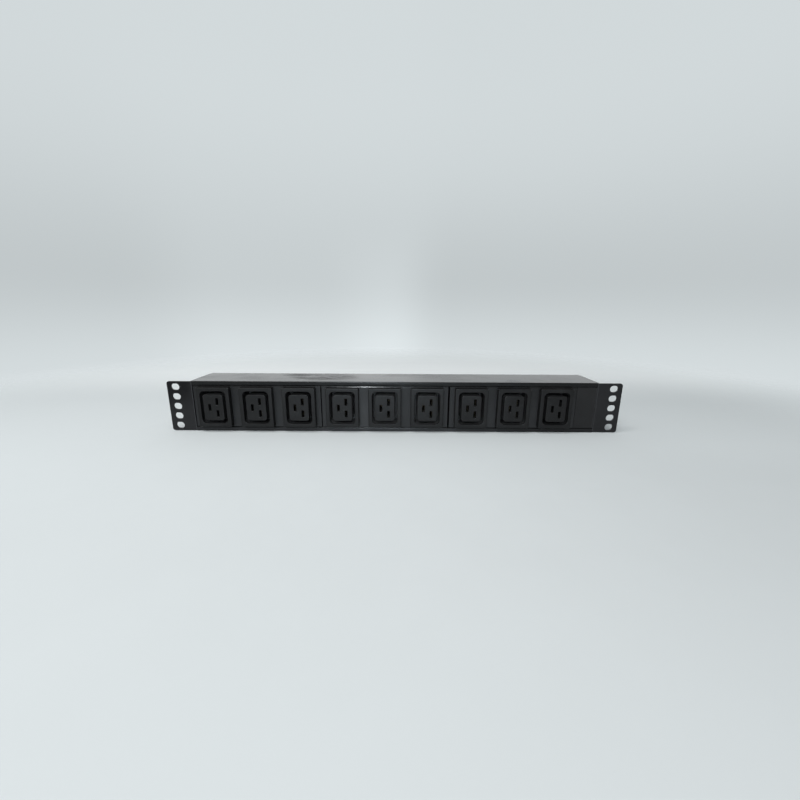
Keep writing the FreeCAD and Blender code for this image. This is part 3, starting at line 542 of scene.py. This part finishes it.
# ---------------------------------------------------------------- room
# strengths: all round, added behind, added in the glow, factor below the horizon, for matt faces
SKY = dict(base=0.54, back=0.62, glow=0.26, below=0.30, matt=0.36)
SKY_COLOUR = (0.95, 0.985, 1.0, 1.0)
BACKDROP = (0.640, 0.690, 0.705, 1.0)      # what the camera sees behind the floor


def room_level(x, y, z, is_diffuse):
    """Even soft light, brighter low down behind the object, with a glow near the middle."""
    behind = y.ramp(start=0.25, end=0.90) * z.ramp(start=0.75, end=0.15)
    behind = behind * x.ramp(start=-0.55, end=0.45, out=(1.06, 0.70))
    glow = behind * (x.ramp(start=-0.15, end=-0.09) * x.ramp(start=0.08, end=0.01))
    level = SKY["base"] + behind * SKY["back"]
    level = level + glow * SKY["glow"]
    level = level * z.ramp(start=-0.15, end=0.02, out=(SKY["below"], 1.0))
    return level + is_diffuse * (SKY["matt"] - level)


def backdrop_level(x, y, z):
    """Backdrop brightness, painted: shaded at both sides, with a painted patch of lamp light just
    left of the middle.
    """
    shade = (x.ramp(start=0.0, end=0.14, out=(0.0, 0.066))
             + x.ramp(start=-0.58, end=-0.40, out=(0.07, 0.0)))
    seen = 1.0 - shade * z.ramp(start=0.03, end=0.30, out=(1.0, 0.15))
    patch = x.ramp(start=-0.20, end=-0.03) * x.ramp(start=-0.03, end=0.09, out=(1.0, 0.0))
    patch = patch * z.ramp(start=0.02, end=0.20, out=(1.0, 0.0))
    seen = seen * (1.0 + patch * y.ramp(start=0.5, end=0.9, out=(0.0, 0.068)))
    # steps in height
    seen = seen * z.ramp(start=0.06, end=-0.15, out=(0.895, 1.11))
    seen = seen * z.ramp(start=-0.18, end=-0.42, out=(1.0, 0.92))
    return seen * z.ramp(start=0.06, end=0.42, out=(1.0, 1.13))


def background(t, colour, strength):
    node = t.add("ShaderNodeBackground")
    node.inputs["Color"].default_value = colour
    t.link(strength, node.inputs["Strength"])
    return node.outputs[0]


def make_world():
    world = bpy.data.worlds.new("studio")
    scene.world = world
    world.use_nodes = True
    t = Tree(world.node_tree)
    x, y, z = t.split(t.add("ShaderNodeTexCoord").outputs["Generated"])
    rays = t.add("ShaderNodeLightPath").outputs
    level = room_level(x, y, z, Value(t, rays["Is Diffuse Ray"]))
    light = background(t, SKY_COLOUR, level)
    seen = background(t, BACKDROP, backdrop_level(x, y, z))
    mixed = t.mix_shaders(rays["Is Camera Ray"], light, seen)
    t.link(mixed, t.add("ShaderNodeOutputWorld").inputs["Surface"])


make_world()


# ---------------------------------------------------------------- lights
def area(name, at, aim, size, power, colour, matt=True, gloss=True):
    """A soft box; matt and gloss say which kind of surface it acts on."""
    light = bpy.data.lights.new(name, "AREA")
    light.shape = "RECTANGLE"
    light.size, light.size_y = size
    light.energy = power
    light.color = colour
    box = bpy.data.objects.new(name, light)
    box.location = at
    box.rotation_euler = (Vector(aim) - Vector(at)).to_track_quat("-Z", "Y").to_euler()
    box.visible_camera = False
    box.visible_diffuse = matt
    box.visible_glossy = gloss
    scene.collection.objects.link(box)


area("key_overhead", at=(-0.15, -0.35, 1.25), aim=(0, 0, 0), size=(0.8, 0.6), power=2.0,
     colour=(1.0, 0.99, 0.97))
# high on the left, glinting on the upper edges of the left outlets
area("key_left", at=(-0.62, -0.30, 1.10), aim=(-0.10, 0, 0), size=(0.60, 0.50), power=4.0,
     colour=(1.0, 0.985, 0.97))
# for the table and the matt faces
area("fill_front", at=(-0.25, -1.5, 1.1), aim=(0, -0.05, 0), size=(1.5, 0.9), power=22.0,
     colour=(1.0, 1.0, 1.0), gloss=False)
# a bright window, whose reflection lies on the middle outlets
area("window_front", at=(-0.08, -1.55, 0.24), aim=(-0.02, 0, 0), size=(0.34, 0.46), power=14.5,
     colour=(0.78, 0.91, 1.0), matt=False)
# its brightest strip, a glint along the upper edges left of the middle
area("window_strip", at=(-0.175, -1.55, 0.55), aim=(-0.033, 0, 0.02), size=(0.075, 0.26),
     power=5.5, colour=(0.92, 0.97, 1.0), matt=False)
# broad boxes at the two ends, for the glossy end faces
for name, side in (("side_right", 1), ("side_left", -1)):
    area(name, at=(side * 1.55, 0.05, 0.55), aim=(side * 0.24, 0.03, 0), size=(0.9, 0.9),
         power=12.0, colour=(0.97, 0.99, 1.0), matt=False)


# ---------------------------------------------------------------- camera
# close in front with a wide lens, looking 14.8 degrees down; angles in radians
CAMERA_AT = (0.004377, -0.404354, 0.108505)
PITCH, ROLL, YAW = 0.25881, 0.00587, -0.0025
SENSOR_MM, LENS_MM = 36.0, 17.48187
SHIFT_Y = 0.006875      # as a fraction of the sensor width


def make_camera():
    forward = Vector((-math.sin(YAW) * math.cos(PITCH), math.cos(YAW) * math.cos(PITCH),
                      -math.sin(PITCH)))
    level_up = Vector((-math.sin(YAW) * math.sin(PITCH), math.cos(YAW) * math.sin(PITCH),
                       math.cos(PITCH)))
    level_right = Vector((math.cos(YAW), math.sin(YAW), 0))
    right = math.cos(ROLL) * level_right + math.sin(ROLL) * level_up
    up = -math.sin(ROLL) * level_right + math.cos(ROLL) * level_up
    data = bpy.data.cameras.new("camera")
    data.sensor_fit = "HORIZONTAL"
    data.sensor_width = SENSOR_MM
    data.lens = LENS_MM
    data.shift_y = SHIFT_Y
    data.clip_start, data.clip_end = 0.01, 50.0
    camera = bpy.data.objects.new("camera", data)
    rows = zip(right, up, -forward, CAMERA_AT)
    camera.matrix_world = Matrix((*rows, (0, 0, 0, 1)))
    scene.collection.objects.link(camera)
    scene.camera = camera


make_camera()
